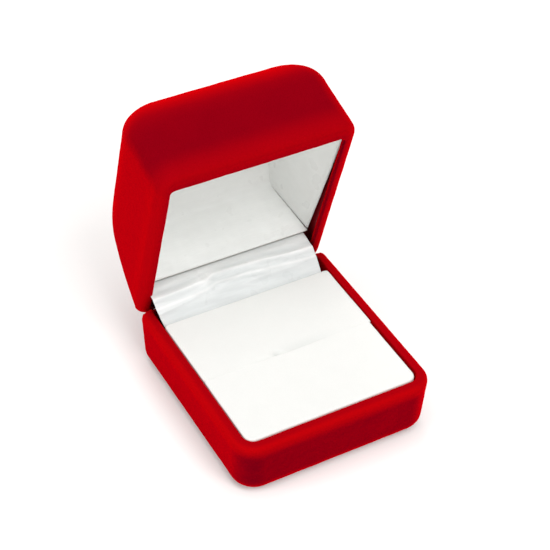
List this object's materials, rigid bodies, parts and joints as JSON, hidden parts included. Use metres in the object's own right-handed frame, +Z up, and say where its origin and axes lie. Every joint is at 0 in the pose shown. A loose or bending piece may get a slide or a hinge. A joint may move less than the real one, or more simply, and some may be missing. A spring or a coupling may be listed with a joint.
{
  "type": "ring box",
  "caption": "Small hinged ring box, stored open: flocked base and domed lid on a sprung hinge, two pads that meet at a ring slot, and a white-lined lid.",
  "frame": {"origin": "centre of the base's flat underside", "axes": "+Z up from the surface that the base stands on, front towards -Y, hinge along X at +Y"},
  "size_m": [0.05, 0.0701, 0.0668],
  "materials": {
    "red_flock": "short flocked pile, matt with a soft sheen",
    "shell_plastic": "moulded, matt",
    "pad_cloth": "fine brushed cloth",
    "pad_foam": null,
    "white_satin": "satin, soft gloss",
    "white_lining": "smooth satin-faced card",
    "card": "plain greyboard",
    "hinge_steel": "black finished steel",
    "spring_steel": "blued spring steel"
  },
  "bodies": {
    "base": {"base_shell": "shell_plastic", "base_flock": "red_flock", "pad_card": "card", "front_pad_foam": "pad_foam", "front_pad_cover": "pad_cloth", "rear_pad_foam": "pad_foam", "rear_pad_cover": "pad_cloth", "base_hinge_leaf": "hinge_steel", "hinge_pin_left": "hinge_steel", "hinge_pin_right": "hinge_steel", "hinge_spring": "spring_steel", "satin_strip": "white_satin"},
    "lid": {"lid_shell": "shell_plastic", "lid_flock": "red_flock", "lid_hinge_leaf": "hinge_steel", "lid_lining_card": "card", "lid_lining_satin": "white_lining", "lid_side_card_left": "white_lining", "lid_side_card_right": "white_lining"}
  },
  "joints": [
    {"name": "lid_hinge", "type": "hinge", "parent": "base", "child": "lid", "pos_m": [0, 0.023, 0.013], "axis": [1, 0, 0], "range_deg": [0, 74], "deforming": ["satin_strip", "hinge_spring"]}
  ]
}
